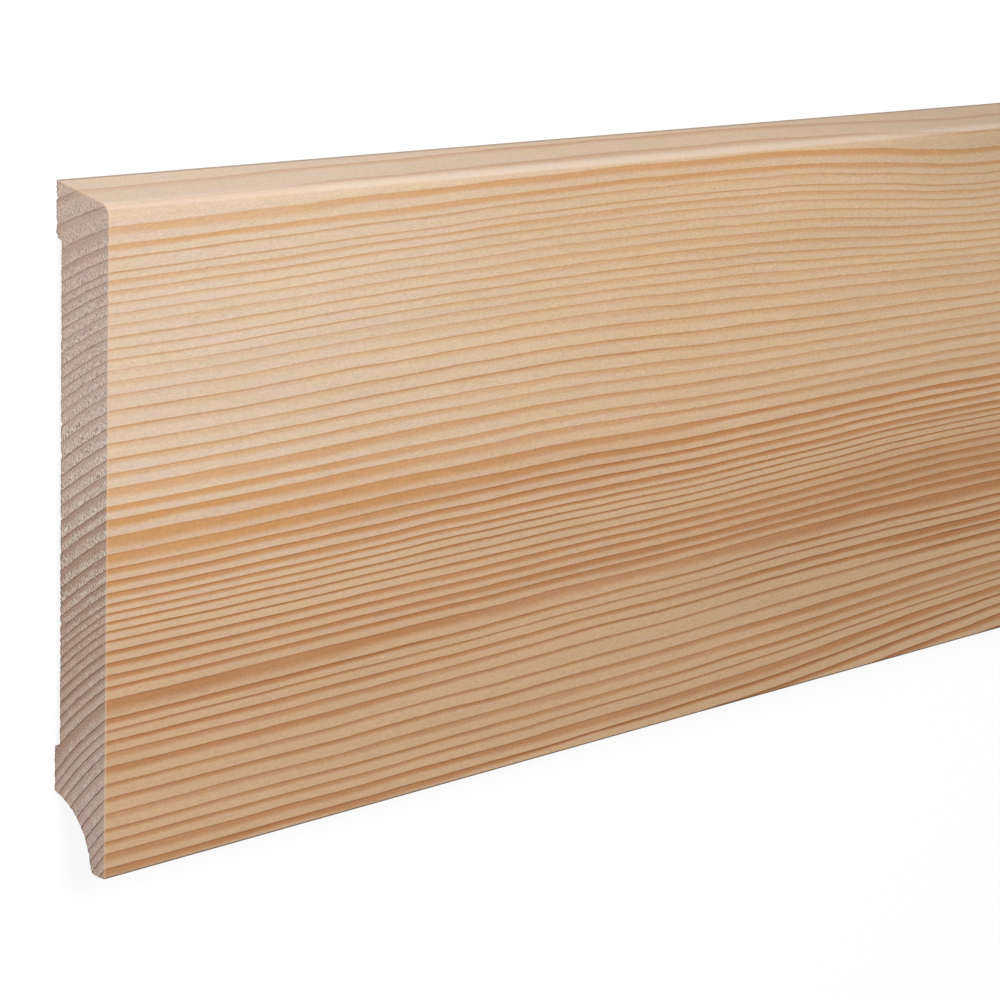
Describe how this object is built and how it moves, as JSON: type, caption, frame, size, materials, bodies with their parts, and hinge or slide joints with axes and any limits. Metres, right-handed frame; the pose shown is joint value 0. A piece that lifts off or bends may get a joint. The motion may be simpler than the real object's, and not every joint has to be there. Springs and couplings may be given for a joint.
{
  "type": "skirting board length",
  "caption": "Straight length of solid softwood skirting board with a falling top edge, rounded front arris, grooved back and cable cove above a slim foot.",
  "frame": {"origin": "middle of the board's footprint as it lies on its back, at mid length and mid height of the section, on the plane of the two back lands", "axes": "+X along the length, +Y from the foot up to the top edge, +Z from the back to the show face, which looks up as the board lies"},
  "size_m": [2.4, 0.15, 0.018],
  "materials": {
    "softwood": "planed and sanded bare softwood with strong growth rings; the sawn ends are rough and greyish pink"
  },
  "bodies": {
    "root": {"skirting_board": "softwood"}
  },
  "joints": []
}
